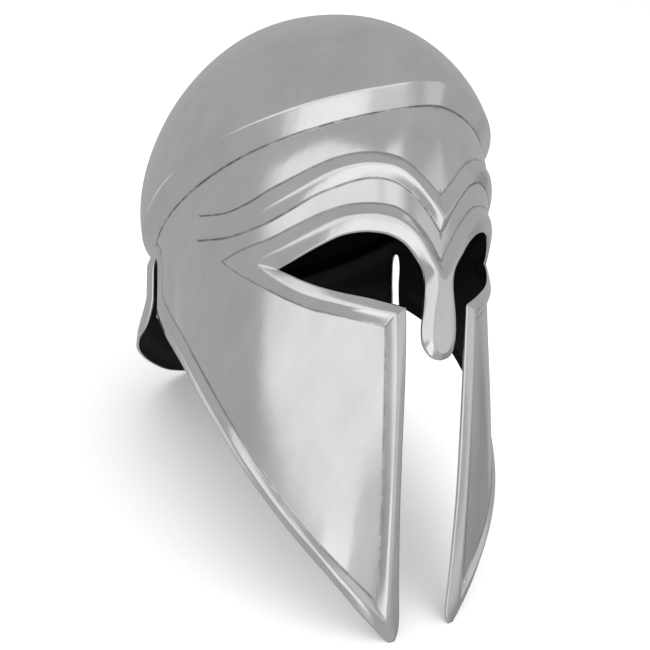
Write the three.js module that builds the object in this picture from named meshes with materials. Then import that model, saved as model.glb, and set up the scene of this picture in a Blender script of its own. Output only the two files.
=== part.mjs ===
// Corinthian helmet, one welded steel shell, standing on its cheek tips and neck guard.
// Millimetres. The shell is set out worn and upright: +X its left, -Y its face, +Z up.
// Everything under the skull's step is set out on a flat pattern of one half:
//   u = distance along the sheet from the front centre line, z = height.
import * as THREE from 'three';

const SHEET = 1.6;            // steel thickness
const CENTRE_Y = 5;           // depth at which the shell is widest
const BACK = 129;             // reach of the back under the step
const BACK_POWER = 2;         // squareness of the back half
const STEP_Z = -19.7;         // height of the step's lower crease at y = 0
const STEP_SLOPE = 0.47;      // drop of that crease per mm towards the back
const STEP_HEIGHT = 10.2;     // crease to ridge
const DOME_RISE = 118;        // ridge plane to crown
const DOME_FLATTEN = 0.06;    // how far the dome's shoulder stays inside an ellipse
const REST_FLAT = 0.9;        // depth filed off where the shell touches the ground
const GUARD_FROM = 212;       // u where the neck guard begins to stand off
const GUARD_FULL = 236;
const GUARD_STAND = 5.5;      // stand-off just under the step
const GUARD_FLARE = 10;       // flare at FLARE_DEPTH under FLARE_Z
const FLARE_Z = -78;
const FLARE_DEPTH = 44;
const FLARE_POWER = 1.15;

const EDGE_STEP = 6;          // spacing of points along borders
const FIELD_STEP = 13.5;      // spacing of points in the plain fields
const CREASE_STEP = 9;        // spacing of points round the step

// horizontal sections: height, half width, reach of the face, squareness of the front half
const SECTIONS = [
  [60, 105, 109.5, 1.55],
  [40, 105, 112.6, 1.55],
  [0, 105, 117.5, 1.9],
  [-80, 105, 119.5, 1.92],
  [-160, 108.5, 115.5, 2.15],
  [-230, 110, 110.5, 2.35],
  [-290, 110, 106, 2.35],
];

// how far the ridge stands out from the crease: angle from the front, overhang
const OVERHANG = [
  [0, 8.5],
  [40, 9],
  [75, 11.5],
  [100, 8.8],
  [135, 6.5],
  [180, 4.8],
];

// Raised bands on the flat pattern. Each row is one station across the band:
// outer crease u, z, height; crest u, z, height; inner line u, z, height.
const BROW = [
  [0, -16, 0, 0, -28, 4.5, 0, -37.5, 0],
  [10, -7, 0, 9, -18.5, 4.5, 10, -24, 0],
  [19, 0.4, 0, 19, -7.5, 4.5, 19.4, -15, 0],
  [28, 4.7, 0, 29.5, -1.2, 4.2, 29, -9, 0],
  [39, 6.5, 0, 40.5, 0.3, 3.8, 40, -7.1, 0],
  [50.5, 5.6, 0, 51.3, -0.9, 3.3, 50, -8.5, 0],
  [63, 2.8, 0, 63.3, -4.6, 2.8, 61, -12, 0],
  [74.6, -2, 0, 74, -10, 2.4, 72.6, -16.5, 0],
  [86, -7.4, 0, 85, -15.8, 2.2, 84, -22.8, 0],
  [99.6, -13.7, 0, 97, -21.8, 1.9, 95, -28.5, 0],
  [113, -20.5, 0, 109, -27.5, 1.5, 107, -33.5, 0],
  [129.5, -25.8, 0, 129, -32.5, 0.9, 128, -39.3, 0],
  [150, -27, 0, 150, -34, 0.3, 151, -41, 0],
];
const NASAL_AND_EYE_TOP = [
  [0, -97, 4.5, 0, -103, 4.5, 0, -108, 3.2],
  [0, -95.5, 4.5, 2.6, -102.3, 4.5, 4.6, -107.1, 3],
  [0, -94, 4.5, 4.8, -100.4, 4.5, 8.6, -104.4, 2.2],
  [0, -90, 4.5, 7.2, -95, 4.5, 12.2, -98, 1.2],
  [0, -84, 4.5, 7.3, -87, 4.5, 12.4, -88.6, 0.6],
  [0, -77, 4.5, 6.6, -79, 4.5, 11.3, -80, 0.2],
  [0, -70, 4.5, 5.4, -71.5, 4.5, 10.3, -72, -0.2],
  [0, -64, 4.5, 4.7, -64.5, 4.5, 10.1, -64.5, -0.3],
  [0, -58.5, 3, 5.6, -57.5, 4.5, 11.8, -57.3, 0],
  [0, -53, 0, 10.5, -48.5, 4.5, 16.4, -50.5, 0.8],
  [9, -39, 0, 17.8, -37.3, 4.4, 23.6, -42.3, 1.3],
  [18, -29.5, 0, 26.9, -30.2, 4.1, 33, -37.4, 1.5],
  [29, -22.5, 0, 37.8, -27, 3.6, 42.5, -35.9, 1.4],
  [42, -20.7, 0, 48.6, -27.3, 3.2, 50.5, -36.2, 1.2],
  [56, -21.9, 0, 59, -29.7, 2.8, 59, -38, 1],
  [69, -26, 0, 70, -35, 2.5, 68, -42, 0.8],
  [84.4, -33, 0, 82, -41, 2.3, 77, -46.7, 0.7],
  [98.7, -39.8, 0, 93, -46.2, 2.2, 86, -51.8, 0.7],
  [115, -45.2, 0, 101, -49.6, 2.1, 91, -54.5, 0.7],
  [132.7, -53, 0, 107, -54, 2, 95.5, -57, 0.7],
];
const EYE_BOTTOM = [
  [132.7, -53, 0, 107, -54, 2, 95.5, -57, 0.7],
  [122.4, -58.8, 0, 101.2, -58.3, 2.1, 90.2, -58.9, 0.7],
  [112.3, -63.6, 0, 95.5, -61.8, 2.2, 86, -60.6, 0.7],
  [102.8, -67.6, 0, 90, -65, 2.3, 82, -62.3, 0.7],
  [88.9, -73.6, 0, 81.4, -69, 2.4, 76, -64.5, 0.7],
  [75.8, -78.4, 0, 71.7, -72, 2.5, 70, -66.4, 0.8],
  [66, -80.6, 0, 62.5, -74.2, 2.7, 61, -68.8, 0.9],
  [56.8, -82.6, 0, 53.7, -76.3, 2.9, 52.5, -70.6, 1],
  [46, -85, 0, 44.5, -78.2, 3.1, 42, -72.8, 1.2],
  [34.5, -88, 0, 29.5, -80.8, 3.5, 23, -78, 1.4],
];
const CHEEK_FRONT = [
  [34.5, -88, 0, 29.5, -80.8, 3.5, 23, -78, 1.4],
  [34.2, -100, 0, 28.8, -97, 3.5, 22.6, -96, 1.2],
  [34, -125, 0, 28.3, -125, 3.4, 22.4, -125, 1],
  [33.8, -160, 0, 28.2, -160, 3.2, 22.4, -160, 0.8],
  [33.6, -195, 0, 28.2, -196, 3, 22, -196, 0.8],
  [33.6, -228, 0, 28, -234, 2.8, 20.2, -236, 0.8],
  [34, -247, 0, 28, -257, 2.5, 18.6, -264, 0.8],
  [34, -249, 0, 28.3, -261, 2.4, 21, -274, 0.8],
];
const CHEEK_TIP = [
  [34, -249, 0, 28.3, -261, 2.4, 21, -274, 0.8],
  [34, -249, 0, 30.8, -257.5, 2.4, 25, -274, 0.8],
];
const CHEEK_REAR = [
  [34, -249, 0, 30.8, -257.5, 2.4, 25, -274, 0.8],
  [36.2, -245.5, 0, 40, -248.3, 2.4, 44, -252.5, 0.8],
  [49.3, -231.4, 0, 52.6, -234.5, 2.4, 56, -237.5, 0.8],
  [63.5, -216.2, 0, 66.5, -218.9, 2.4, 69.5, -221.5, 0.8],
  [87, -189.7, 0, 90, -192.4, 2.4, 93, -195, 0.8],
  [108.8, -164, 0, 112.1, -167, 2.4, 115.5, -170, 0.8],
  [130.6, -138.3, 0, 134, -142, 2.4, 137.5, -145.5, 0.8],
  [152.2, -114.9, 0, 156.1, -119.4, 2.4, 160, -124, 0.8],
  [170.6, -98.3, 0, 174.8, -103.9, 2.4, 179, -109.5, 0.8],
  [189, -86, 0, 194, -93, 2.4, 199, -99.5, 0.8],
  [204.5, -77, 0, 211, -84.5, 2.2, 217.2, -91.5, 0.8],
];
const NOTCH_AND_GUARD = [
  [204.5, -77, 0, 211, -84.5, 2.2, 217.2, -91.5, 0.8],
  [203.4, -67, 0, 210.3, -72, 2, 216.4, -76, 0.8],
  [204, -56.5, 0, 210.1, -60, 1.8, 215.2, -63, 0.8],
  [208, -47.5, 0, 212.6, -51, 1.5, 216.4, -54.2, 0.8],
  [219.2, -44, 0, 219.2, -48.2, 1.2, 219.2, -51.9, 0.8],
  [231, -48, 0, 226, -51.2, 1.4, 222.2, -54.2, 0.8],
  [235, -56.5, 0, 229, -58.5, 1.8, 223.8, -60, 0.8],
  [236, -70, 0, 230, -71.5, 2, 224.6, -73, 0.8],
  [237.5, -82, 0, 231.5, -84.5, 2, 225.8, -87, 0.8],
  [243, -93, 0, 237, -98, 2, 231.5, -102.5, 0.8],
  [256, -101.5, 0, 252, -107, 2, 248, -112.5, 0.8],
  [278, -112, 0, 276, -117.8, 2, 274, -123.5, 0.8],
  [300, -121.5, 0, 299, -127.5, 2, 298, -133.5, 0.8],
  [320, -129.5, 0, 319.5, -135.5, 2, 319, -141.5, 0.8],
  [338, -133, 0, 338, -139, 2, 338, -145, 0.8],
  [346, -133, 0, 346, -139, 2, 346, -145, 0.8],
  [400, -133, 0, 400, -139, 2, 400, -145, 0.8],
];

const smooth = (a, b, x) => {
  const t = Math.min(1, Math.max(0, (x - a) / (b - a)));
  return t * t * (3 - 2 * t);
};

// smooth curve through table rows, first column the argument
function lookUp(rows, x) {
  const up = rows[0][0] < rows[1][0];
  let i = 0;
  while (i < rows.length - 2 && (up ? x > rows[i + 1][0] : x < rows[i + 1][0])) i += 1;
  const slope = (k, c) => {
    const a = rows[Math.max(0, k - 1)];
    const b = rows[Math.min(rows.length - 1, k + 1)];
    return (b[c] - a[c]) / (b[0] - a[0]);
  };
  const step = rows[i + 1][0] - rows[i][0];
  const t = Math.min(1, Math.max(0, (x - rows[i][0]) / step));
  return rows[i].map((_, c) => {
    if (c === 0) return x;
    const h = rows[i + 1][c] - rows[i][c];
    const m = slope(i, c) * step;
    const n = slope(i + 1, c) * step;
    return rows[i][c] + t * (m + t * (3 * h - 2 * m - n + t * (m + n - 2 * h)));
  });
}

// one horizontal section as points from the front centre to the back centre
const sectionCache = new Map();
function section(z) {
  const key = z.toFixed(3);
  if (sectionCache.has(key)) return sectionCache.get(key);
  const [, wide, face, power] = lookUp(SECTIONS, z);
  const points = [];
  let run = 0;
  for (let i = 0; i <= 360; i += 1) {
    const a = (Math.PI * i) / 360;
    const front = i < 180;
    const p = 2 / (front ? power : BACK_POWER);
    const reach = front ? face + CENTRE_Y : BACK - CENTRE_Y;
    const c = Math.abs(Math.cos(a));
    const x = i === 360 ? 0 : wide * Math.sin(a) ** p;
    const y = CENTRE_Y + (front ? -1 : 1) * reach * c ** p;
    if (i > 0) run += Math.hypot(x - points[i - 1][1], y - points[i - 1][2]);
    points.push([run, x, y]);
  }
  sectionCache.set(key, points);
  return points;
}
const girth = (z) => section(z)[360][0];

function onSheet(u, z) {
  const points = section(z);
  if (u >= points[360][0] - 1e-6) return new THREE.Vector3(0, points[360][2], z);
  let lo = 0;
  let hi = 360;
  while (hi - lo > 1) {
    const mid = (lo + hi) >> 1;
    if (points[mid][0] > u) hi = mid;
    else lo = mid;
  }
  const [r, x, y] = points[lo];
  const [s, x2, y2] = points[hi];
  const t = (u - r) / (s - r);
  return new THREE.Vector3(x + t * (x2 - x), y + t * (y2 - y), z);
}

const stepZ = (y) => STEP_Z - STEP_SLOPE * y;

// height of the step's crease at distance u
function creaseZ(u) {
  let z = 0;
  for (let i = 0; i < 30; i += 1) z = stepZ(onSheet(u, z).y);
  return z;
}

// outward stand-off of the plain sheet where it turns into the neck guard
function standOff(u, z) {
  const under = creaseZ(Math.min(u, girth(z))) - z;
  const flare = GUARD_FLARE * (Math.max(0, FLARE_Z - z) / FLARE_DEPTH) ** FLARE_POWER;
  return smooth(GUARD_FROM, GUARD_FULL, u) * smooth(0, 13, under) * (GUARD_STAND + flare);
}

function sheetPoint(u, z, height) {
  const e = 0.5;
  const limit = girth(z);
  const p = onSheet(u, z);
  const across = onSheet(Math.min(u + e, limit), z).sub(onSheet(Math.max(0, u - e), z));
  const along = onSheet(Math.min(u, girth(z + e)), z + e).sub(onSheet(Math.min(u, girth(z - e)), z - e));
  const normal = across.cross(along).normalize();
  if (u === 0 || u >= limit - 1e-6) normal.setX(0).normalize();
  return p.addScaledVector(normal, height + standOff(u, z));
}

// Catmull-Rom through the rows of a band, evenly spaced along its inner line
function alongBand(rows, step) {
  const fine = [];
  const last = rows.length - 1;
  for (let i = 0; i < last; i += 1) {
    const a = rows[Math.max(0, i - 1)];
    const b = rows[i];
    const c = rows[i + 1];
    const d = rows[Math.min(last, i + 2)];
    for (let k = 0; k < 12; k += 1) {
      const t = k / 12;
      const mix = (q) => {
        const m = (c[q] - a[q]) / 2;
        const n = (d[q] - b[q]) / 2;
        const h = c[q] - b[q];
        return b[q] + t * (m + t * (3 * h - 2 * m - n + t * (m + n - 2 * h)));
      };
      fine.push(b.map((_, q) => mix(q)));
    }
  }
  fine.push([...rows[last]]);
  const run = [0];
  for (let i = 1; i < fine.length; i += 1) {
    const [a, b] = [fine[i - 1], fine[i]];
    const inner = Math.hypot(b[6] - a[6], b[7] - a[7]);
    const outer = Math.hypot(b[0] - a[0], b[1] - a[1]);
    run.push(run[i - 1] + Math.max(inner, outer));
  }
  const count = Math.max(1, Math.round(run[run.length - 1] / step));
  const out = [];
  let at = 0;
  for (let k = 0; k <= count; k += 1) {
    const want = (run[run.length - 1] * k) / count;
    while (at < fine.length - 2 && run[at + 1] < want) at += 1;
    const t = (want - run[at]) / (run[at + 1] - run[at]);
    out.push(fine[at].map((v, q) => v + t * (fine[at + 1][q] - v)));
  }
  return out;
}

// Delaunay triangles of points in the plane
function triangulate(points) {
  const far = 5000;
  const all = [...points, [-far, -far], [far, -far], [0, far]];
  const n = points.length;
  const circle = (a, b, c) => {
    const [ax, ay] = all[a];
    const bx = all[b][0] - ax;
    const by = all[b][1] - ay;
    const cx = all[c][0] - ax;
    const cy = all[c][1] - ay;
    const d = 2 * (bx * cy - by * cx);
    const x = (cy * (bx * bx + by * by) - by * (cx * cx + cy * cy)) / d;
    const y = (bx * (cx * cx + cy * cy) - cx * (bx * bx + by * by)) / d;
    return { t: [a, b, c], x: ax + x, y: ay + y, r: x * x + y * y };
  };
  let open = [circle(n, n + 1, n + 2)];
  for (let i = 0; i < n; i += 1) {
    const rim = new Map();
    const keep = [];
    for (const c of open) {
      const dx = all[i][0] - c.x;
      const dy = all[i][1] - c.y;
      if (dx * dx + dy * dy >= c.r) {
        keep.push(c);
        continue;
      }
      for (let k = 0; k < 3; k += 1) {
        const a = c.t[k];
        const b = c.t[(k + 1) % 3];
        const back = `${b},${a}`;
        if (rim.has(back)) rim.delete(back);
        else rim.set(`${a},${b}`, [a, b]);
      }
    }
    for (const [a, b] of rim.values()) keep.push(circle(a, b, i));
    open = keep;
  }
  return open.map((c) => c.t).filter((t) => t.every((v) => v < n));
}

function inside(loop, x, y) {
  let odd = false;
  for (let i = 0, j = loop.length - 1; i < loop.length; j = i, i += 1) {
    const [ax, ay] = loop[i];
    const [bx, by] = loop[j];
    if (ay > y !== by > y && x < ((bx - ax) * (y - ay)) / (by - ay) + ax) odd = !odd;
  }
  return odd;
}

// ---- flat pattern of one half -------------------------------------------------
const flat = [];            // [u, z, height]
const place = (u, z, height) => {
  const x = u > girth(z) - 2.5 ? girth(z) : u;
  const hit = flat.findIndex((p) => Math.hypot(p[0] - x, p[1] - z) < 0.6);
  if (hit >= 0) return hit;
  flat.push([x, z, height]);
  return flat.length - 1;
};

const edges = [NASAL_AND_EYE_TOP, EYE_BOTTOM, CHEEK_FRONT, CHEEK_TIP, CHEEK_REAR, NOTCH_AND_GUARD];
const edgeLoop = [];
for (const rows of edges) {
  for (const s of alongBand(rows, EDGE_STEP)) {
    const at = place(s[6], s[7], s[8]);
    if (edgeLoop[edgeLoop.length - 1] !== at) edgeLoop.push(at);
  }
}

// crease of the step from the back centre to the front centre
const creaseLine = [];
const creaseGirth = girth(stepZ(BACK));
const creaseCount = Math.round(creaseGirth / CREASE_STEP);
for (let k = creaseCount; k >= 0; k -= 1) {
  const u = k === creaseCount ? 400 : (creaseGirth * k) / creaseCount;
  creaseLine.push(place(u, k === creaseCount ? stepZ(BACK) : creaseZ(u), 0));
}
const loop = [...edgeLoop, ...creaseLine].map((i) => flat[i]);

for (const rows of edges) {
  for (const s of alongBand(rows, EDGE_STEP)) {
    place(s[3], s[4], s[5]);
    place(s[0], s[1], s[2]);
  }
}
for (const s of alongBand(BROW, EDGE_STEP)) {
  place(s[3], s[4], s[5]);
  place(s[0], s[1], s[2]);
  place(s[6], s[7], s[8]);
}
for (const z of [24, 15, 5, -6]) place(0, z, 0);
place(0, -45, 0);
for (const z of [-93, -106, -120]) place(400, z, 0);
const made = flat.length;
for (let row = 0; row < 30; row += 1) {
  for (let col = 0; col < 30; col += 1) {
    const u = FIELD_STEP * (col + (row % 2) / 2);
    const z = 30 - FIELD_STEP * 0.87 * row;
    if (u > girth(z) - 5 || !inside(loop, u, z)) continue;
    const near = flat.slice(0, made).some((p) => Math.hypot(p[0] - u, p[1] - z) < FIELD_STEP * 0.56);
    if (!near) flat.push([u, z, 0]);
  }
}
const cells = triangulate(flat).filter(([a, b, c]) => {
  const u = (flat[a][0] + flat[b][0] + flat[c][0]) / 3;
  const z = (flat[a][1] + flat[b][1] + flat[c][1]) / 3;
  return inside(loop, u, z);
});

// ---- outer face of one half: sheet, step and dome -------------------------------
const half = flat.map(([u, z, height]) => sheetPoint(u, z, height));
const faces = cells.map((t) => [...t]);

const tilt = Math.atan(STEP_SLOPE);
const rise = new THREE.Vector3(0, Math.sin(tilt), Math.cos(tilt));
const ringStart = [...creaseLine].reverse();
const crease = ringStart.map((i) => half[i]);
const ridge = crease.map((p, k) => {
  const a = crease[Math.max(0, k - 1)].clone();
  const b = crease[Math.min(crease.length - 1, k + 1)].clone();
  if (k === 0) a.set(-b.x, b.y, b.z);
  if (k === crease.length - 1) b.set(-a.x, a.y, a.z);
  const out = b.sub(a).cross(rise).normalize();
  const angle = (Math.atan2(p.x, CENTRE_Y - p.y) * 180) / Math.PI;
  const reach = lookUp(OVERHANG, angle)[1];
  return p.clone().addScaledVector(out, reach).addScaledVector(rise, STEP_HEIGHT);
});
const domeFoot = ridge[0].clone().add(ridge[ridge.length - 1]).multiplyScalar(0.5);

// point of the ridge at a share of the way round
function ridgeAt(share) {
  const x = share * (ridge.length - 1);
  const i = Math.min(ridge.length - 2, Math.floor(x));
  return ridge[i].clone().lerp(ridge[i + 1], x - i);
}
const zip = (a, b) => {
  let i = 0;
  let j = 0;
  while (i < a.length - 1 || j < b.length - 1) {
    const stepA = (i + 1) / (a.length - 1);
    const stepB = (j + 1) / (b.length - 1);
    if (j === b.length - 1 || (i < a.length - 1 && stepA <= stepB)) {
      faces.push([a[i], a[i + 1], b[j]]);
      i += 1;
    } else {
      faces.push([a[i], b[j + 1], b[j]]);
      j += 1;
    }
  }
};
let ring = ringStart;
const rows = 12;
const wideLength = ridge[0].distanceTo(ridge[ridge.length - 1]) / 2;
for (let k = 0; k < rows; k += 1) {
  const a = (Math.PI / 2) * (k / rows);
  const flatten = 1 - DOME_FLATTEN * Math.sin(2 * a) ** 2;
  const count = Math.max(6, Math.round((ridge.length - 1) * Math.min(1, Math.cos(a) * 1.15)));
  const next = [];
  for (let i = 0; i <= count; i += 1) {
    const out = ridgeAt(i / count).sub(domeFoot);
    const turn = Math.atan2(out.x, -out.dot(new THREE.Vector3(0, Math.cos(tilt), -Math.sin(tilt))));
    const halfWide = Math.max(...ridge.map((p) => p.x));
    const oval = 1 / Math.hypot(Math.cos(turn) / wideLength, Math.sin(turn) / halfWide);
    const round = out.clone().multiplyScalar(oval / out.length());
    const p = out.lerp(round, Math.sin(a) ** 4).multiplyScalar(Math.cos(a) * flatten);
    p.add(domeFoot).addScaledVector(rise, DOME_RISE * Math.sin(a) * flatten);
    if (i === 0 || i === count) p.setX(0);
    half.push(p);
    next.push(half.length - 1);
  }
  zip(ring, next);
  ring = next;
}
half.push(domeFoot.clone().addScaledVector(rise, DOME_RISE));
for (let i = 0; i < ring.length - 1; i += 1) faces.push([ring[i], ring[i + 1], half.length - 1]);

// ---- both halves, then the inner face and the sheet's edge ---------------------
const points = half.map((p) => p.clone());
const twin = half.map((p, i) => {
  if (Math.abs(p.x) < 1e-6) {
    points[i].setX(0);
    return i;
  }
  points.push(new THREE.Vector3(-p.x, p.y, p.z));
  return points.length - 1;
});
const outer = [];
for (const [a, b, c] of faces) {
  const n = half[b].clone().sub(half[a]).cross(half[c].clone().sub(half[a]));
  const mid = half[a].clone().add(half[b]).add(half[c]).divideScalar(3);
  const out = mid.clone().sub(new THREE.Vector3(0, 0, Math.min(mid.z, 0)));
  const t = n.dot(out) > 0 ? [a, b, c] : [a, c, b];
  outer.push(t, [twin[t[0]], twin[t[2]], twin[t[1]]]);
}
const normals = points.map(() => new THREE.Vector3());
for (const [a, b, c] of outer) {
  const n = points[b].clone().sub(points[a]).cross(points[c].clone().sub(points[a]));
  for (const i of [a, b, c]) normals[i].add(n);
}
const count = points.length;
for (let i = 0; i < count; i += 1) {
  points.push(points[i].clone().addScaledVector(normals[i].normalize(), -SHEET));
}
const open = new Map();
for (const t of outer) {
  for (let k = 0; k < 3; k += 1) {
    const a = t[k];
    const b = t[(k + 1) % 3];
    if (open.has(`${b},${a}`)) open.delete(`${b},${a}`);
    else open.set(`${a},${b}`, [a, b]);
  }
}
const solid = [...outer, ...outer.map(([a, b, c]) => [a + count, c + count, b + count])];
for (const [a, b] of open.values()) {
  solid.push([b, a, a + count], [b, a + count, b + count]);
}

// ---- lean it back until tips and neck guard touch the ground -------------------
const leaned = (angle) => points.map((p) => new THREE.Vector3(
  p.x,
  p.y * Math.cos(angle) + p.z * Math.sin(angle),
  -p.y * Math.sin(angle) + p.z * Math.cos(angle),
));
const lowest = (list, front) => Math.min(...list.filter((_, i) => points[i].y < 0 === front).map((p) => p.z));
let low = 0;
let high = 1;
for (let i = 0; i < 40; i += 1) {
  const mid = (low + high) / 2;
  const list = leaned(mid);
  if (lowest(list, true) < lowest(list, false)) low = mid;
  else high = mid;
}
const standing = leaned((low + high) / 2);
const ground = lowest(standing, true) + REST_FLAT;
const reach = standing.map((p) => p.y);
const middle = (Math.min(...reach) + Math.max(...reach)) / 2;
const xyz = [];
for (const p of standing) xyz.push(p.x, p.y - middle, Math.max(0, p.z - ground));

const geometry = new THREE.BufferGeometry();
geometry.setAttribute('position', new THREE.Float32BufferAttribute(xyz, 3));
geometry.setIndex(solid.flat());
const shell = new THREE.Mesh(
  geometry,
  new THREE.MeshStandardMaterial({ color: '#b9bbbd', metalness: 1, roughness: 0.25 }),
);
shell.name = 'shell';

const helmet = new THREE.Group();
helmet.name = 'corinthian_helmet';
helmet.add(shell);
export default helmet;
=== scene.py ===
"""Looks of a Corinthian helmet: one polished steel shell, black inside, on a pale floor.

The shell is set out worn and upright (+X its left, -Y its face, +Z up) in millimetres, on a
flat pattern of one half (u = distance along the sheet from the front centre line, z = height).
It is then mirrored, given its thickness and leaned back onto its cheek tips and neck guard.
"""

import math

import bpy
import numpy as np
from mathutils import Matrix, Vector
from mathutils.geometry import delaunay_2d_cdt


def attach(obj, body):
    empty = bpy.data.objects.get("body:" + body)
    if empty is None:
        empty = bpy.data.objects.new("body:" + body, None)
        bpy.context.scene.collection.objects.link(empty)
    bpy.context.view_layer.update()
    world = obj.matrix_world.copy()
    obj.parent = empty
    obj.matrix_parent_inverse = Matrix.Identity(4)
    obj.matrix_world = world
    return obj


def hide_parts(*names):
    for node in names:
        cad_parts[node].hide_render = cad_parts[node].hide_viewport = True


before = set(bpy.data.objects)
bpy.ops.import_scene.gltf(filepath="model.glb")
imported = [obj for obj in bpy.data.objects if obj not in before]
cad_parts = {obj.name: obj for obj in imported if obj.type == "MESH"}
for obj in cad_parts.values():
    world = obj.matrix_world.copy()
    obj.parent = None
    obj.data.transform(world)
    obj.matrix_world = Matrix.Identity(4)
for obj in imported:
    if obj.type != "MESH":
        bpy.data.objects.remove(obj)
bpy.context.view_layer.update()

# ---- sizes of the shell, in millimetres --------------------------------------------
SHEET = 1.6            # thickness
INNER_RELIEF = 0.8     # how much of a band's height shows inside
CENTRE_Y = 5.0         # where the front half of a section meets the back half
BACK = 129.0
BACK_POWER = 2.0
STEP_Z = -19.7         # the step under the skull: height at the middle, and its slope
STEP_SLOPE = 0.47
STEP_HEIGHT = 10.2
STEP_BULGE = 0.1       # swell at the middle of the facet between crease and ridge
RIDGE_PULL = 0.15      # how far the ridge's own point is drawn in, which rounds it
DOME_RISE = 118.0
DOME_FLATTEN = 0.06
REST_FLAT = 0.9        # filed off where the shell touches the ground
GUARD_FROM = 212.0
GUARD_FULL = 236.0
GUARD_BLEND = 13.0
GUARD_STAND = 5.5
GUARD_FLARE = 10.0
FLARE_Z = -78.0
FLARE_DEPTH = 44.0
FLARE_POWER = 1.15

# ---- fineness of the mesh ----------------------------------------------------------
SECTION_POINTS = 721   # points along one horizontal section
FRONT_POINTS = 360
BAND_STEP = 2.0        # spacing of stations along the bands
FIELD_STEP = 3.4       # spacing in the plain fields
ROW_RATIO = 0.87       # spacing of the fields' rows, as a share of FIELD_STEP
FIELD_CLEAR = 0.5      # gap left round the bands' points, as a share of FIELD_STEP
FIELD_TOP = 40.0
CENTRE_RANGE = (30, -130)
CREASE_COUNT = 116     # pieces along the step's crease
RIDGE_ROUND = 1.3      # rounding of a band's crest
HALO = 1.1             # row of points that keeps a crease crisp
RIM_ROUND = 0.5        # how far the sheet's edge is rounded out
DOME_ROWS = 44
FIRST_ANGLES = [0.004, 0.014]
MERGE = 0.45           # points nearer than this are one
SNAP_FRONT = 0.7       # points nearer than this to a centre line are put on it
SNAP_BACK = 1.2
BEYOND = 400.0         # further than the back centre line at any height
FRONT_CLEAR = 1.5      # gap between the fields' points and the centre lines
BACK_CLEAR = 1.8
HALO_FRONT_CLEAR = 0.5
HALO_BACK_CLEAR = 0.8
SHORTEST = 0.5         # a band narrower than this has no halo
NUDGE = 0.3            # step off a centre line, to see which side of the outline it is on
NORMAL_STEP = 0.8
TINY = 1e-6
ROUNDS = 40            # steps of each search by halves or repetition
OUTER_SHARES = [0.93, 0.82, 0.66, 0.48, 0.3, 0.12]
INNER_SHARES = [0.1, 0.25, 0.45, 0.68, 0.88]
STEP_SHARES = [0.07, 0.2, 0.36, 0.52, 0.68, 0.82, 0.92, 0.97]

# ---- painted shade in the creases and on the cheek's front facet, 0 to 1 -----------
STEP_CREASE_SHADE = 1.0
BAND_CREASE_SHADE = 0.7
BROW_CREASE_SHADE = 0.55
BROW_TAIL_SHADE = 0.45 # painted shade added towards the brow's tail
BROW_TAIL = (60, 110)
BROW_INNER_SHADE = 0.9
CHEEK_FACET_SHADE = 0.5      # painted shade on the cheek's front band, outside its crest, near the crease, stronger lower down
CHEEK_TOP_SHARE = 0.35 # how much of it shows at the top
CHEEK_FACET_SHADE_Z = (-110, -215)

# horizontal sections: height, half width, reach of the face, squareness of the front half
SECTIONS = np.array([
    [-290, 110, 106, 2.35],
    [-230, 110, 110.5, 2.35],
    [-160, 108.5, 115.5, 2.15],
    [-80, 105, 119.5, 1.92],
    [0, 105, 117.5, 1.9],
    [40, 105, 112.6, 1.55],
    [60, 105, 109.5, 1.55],
], float)

# how far the ridge stands out from the step's crease: angle from the front, overhang
OVERHANG = np.array([[0, 8.5], [40, 9], [75, 11.5], [100, 8.8], [135, 6.5], [180, 4.8]], float)

# Raised bands. Each row is one station across the band:
# outer crease u, z, height; crest u, z, height; inner line u, z, height.
BROW = [
    [0, -16, 0, 0, -28, 4.5, 0, -37.5, 0],
    [10, -7, 0, 9, -18.5, 4.5, 10, -24, 0],
    [19, 0.4, 0, 19, -7.5, 4.5, 19.4, -15, 0],
    [28, 4.7, 0, 29.5, -1.2, 4.2, 29, -9, 0],
    [39, 6.5, 0, 40.5, 0.3, 3.8, 40, -7.1, 0],
    [50.5, 5.6, 0, 51.3, -0.9, 3.3, 50, -8.5, 0],
    [63, 2.8, 0, 63.3, -4.6, 2.8, 61, -12, 0],
    [74.6, -2, 0, 74, -10, 2.4, 72.6, -16.5, 0],
    [86, -7.4, 0, 85, -15.8, 2.2, 84, -22.8, 0],
    [99.6, -13.7, 0, 97, -21.8, 1.9, 95, -28.5, 0],
    [113, -20.5, 0, 109, -27.5, 1.5, 107, -33.5, 0],
    [129.5, -25.8, 0, 129, -32.5, 0.9, 128, -39.3, 0],
    [150, -27, 0, 150, -34, 0.3, 151, -41, 0],
]
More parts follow.
